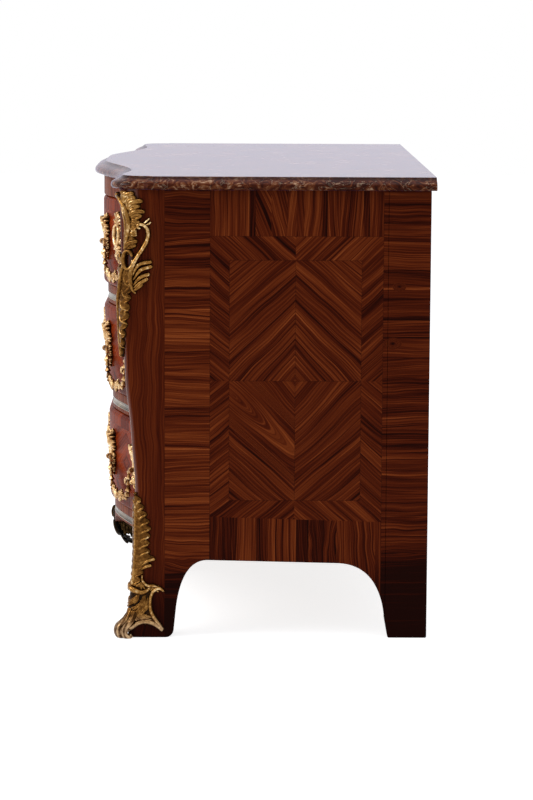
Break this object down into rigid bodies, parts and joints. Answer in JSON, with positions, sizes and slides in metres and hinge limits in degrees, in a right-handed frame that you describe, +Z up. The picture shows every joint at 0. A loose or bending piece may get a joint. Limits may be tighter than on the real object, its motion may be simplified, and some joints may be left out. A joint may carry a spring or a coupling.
{
  "type": "commode chest",
  "caption": "Bow-fronted commode chest with rows of sliding drawers, swinging bail handles, a moulded marble top, marquetry end panels and gilt bronze mounts on its corners and feet.",
  "frame": {"origin": "on the floor, under the middle of the chest's width and depth", "axes": "+X to the right of someone who faces the drawers, -Y out of the drawer fronts, +Z up"},
  "size_m": [1.3, 0.658, 0.866],
  "materials": {
    "marble": "polished, veined",
    "end_veneer": "quartered veneer, french polished",
    "front_veneer": "veneer, french polished",
    "oak": "planed, waxed",
    "gilt_bronze": "cast and gilded, worn",
    "flute_brass": "dull drawn brass"
  },
  "bodies": {
    "carcass": {"marble_top": "marble", "case_top_board": "oak", "back_panel": "oak", "top_rail": "front_veneer", "upper_rail": "front_veneer", "lower_rail": "front_veneer", "apron_rail": "front_veneer", "upper_brass_flute": "flute_brass", "lower_brass_flute": "flute_brass", "apron_brass_flute": "flute_brass", "top_row_divider": "oak", "upper_dustboard": "oak", "lower_dustboard": "oak", "bottom_board": "oak", "apron_mount": "gilt_bronze", "right_side_panel": "end_veneer", "right_front_post": "end_veneer", "right_rear_post": "end_veneer", "right_corner_chute": "gilt_bronze", "right_sabot": "gilt_bronze", "left_side_panel": "end_veneer", "left_front_post": "end_veneer", "left_rear_post": "end_veneer", "left_corner_chute": "gilt_bronze", "left_sabot": "gilt_bronze"},
    "top_right_drawer": {"top_right_drawer_front": "front_veneer", "top_right_drawer_box": "oak", "top_right_drawer_bottom": "oak", "top_right_inner_backplate": "gilt_bronze", "top_right_outer_backplate": "gilt_bronze", "top_right_escutcheon": "gilt_bronze"},
    "top_left_drawer": {"top_left_drawer_front": "front_veneer", "top_left_drawer_box": "oak", "top_left_drawer_bottom": "oak", "top_left_inner_backplate": "gilt_bronze", "top_left_outer_backplate": "gilt_bronze", "top_left_escutcheon": "gilt_bronze"},
    "middle_drawer": {"middle_drawer_front": "front_veneer", "middle_drawer_box": "oak", "middle_drawer_bottom": "oak", "middle_escutcheon": "gilt_bronze", "middle_right_inner_backplate": "gilt_bronze", "middle_right_outer_backplate": "gilt_bronze", "middle_left_inner_backplate": "gilt_bronze", "middle_left_outer_backplate": "gilt_bronze"},
    "bottom_drawer": {"bottom_drawer_front": "front_veneer", "bottom_drawer_box": "oak", "bottom_drawer_bottom": "oak", "bottom_escutcheon": "gilt_bronze", "bottom_right_inner_backplate": "gilt_bronze", "bottom_right_outer_backplate": "gilt_bronze", "bottom_left_inner_backplate": "gilt_bronze", "bottom_left_outer_backplate": "gilt_bronze"},
    "top_right_bail": {"top_right_bail": "gilt_bronze"},
    "top_left_bail": {"top_left_bail": "gilt_bronze"},
    "middle_right_bail": {"middle_right_bail": "gilt_bronze"},
    "middle_left_bail": {"middle_left_bail": "gilt_bronze"},
    "bottom_right_bail": {"bottom_right_bail": "gilt_bronze"},
    "bottom_left_bail": {"bottom_left_bail": "gilt_bronze"}
  },
  "joints": [
    {"name": "top_right_drawer_slide", "type": "slide", "parent": "carcass", "child": "top_right_drawer", "axis": [0, -1, 0], "range_m": [0, 0.38]},
    {"name": "top_left_drawer_slide", "type": "slide", "parent": "carcass", "child": "top_left_drawer", "axis": [0, -1, 0], "range_m": [0, 0.38]},
    {"name": "middle_drawer_slide", "type": "slide", "parent": "carcass", "child": "middle_drawer", "axis": [0, -1, 0], "range_m": [0, 0.38]},
    {"name": "bottom_drawer_slide", "type": "slide", "parent": "carcass", "child": "bottom_drawer", "axis": [0, -1, 0], "range_m": [0, 0.38]},
    {"name": "top_right_bail_swing", "type": "hinge", "parent": "top_right_drawer", "child": "top_right_bail", "pos_m": [0.27078, -0.28372, 0.7095], "axis": [-0.9587, -0.2845, 0], "range_deg": [0, 85]},
    {"name": "top_left_bail_swing", "type": "hinge", "parent": "top_left_drawer", "child": "top_left_bail", "pos_m": [-0.27078, -0.28372, 0.7095], "axis": [-0.9587, 0.2845, 0], "range_deg": [0, 85]},
    {"name": "middle_right_bail_swing", "type": "hinge", "parent": "middle_drawer", "child": "middle_right_bail", "pos_m": [0.27078, -0.27915, 0.49349], "axis": [-0.9587, -0.2845, 0], "range_deg": [0, 85]},
    {"name": "middle_left_bail_swing", "type": "hinge", "parent": "middle_drawer", "child": "middle_left_bail", "pos_m": [-0.27078, -0.27915, 0.49349], "axis": [-0.9587, 0.2845, 0], "range_deg": [0, 85]},
    {"name": "bottom_right_bail_swing", "type": "hinge", "parent": "bottom_drawer", "child": "bottom_right_bail", "pos_m": [0.27078, -0.27214, 0.27299], "axis": [-0.9587, -0.2845, 0], "range_deg": [0, 85]},
    {"name": "bottom_left_bail_swing", "type": "hinge", "parent": "bottom_drawer", "child": "bottom_left_bail", "pos_m": [-0.27078, -0.27214, 0.27299], "axis": [-0.9587, 0.2845, 0], "range_deg": [0, 85]}
  ]
}
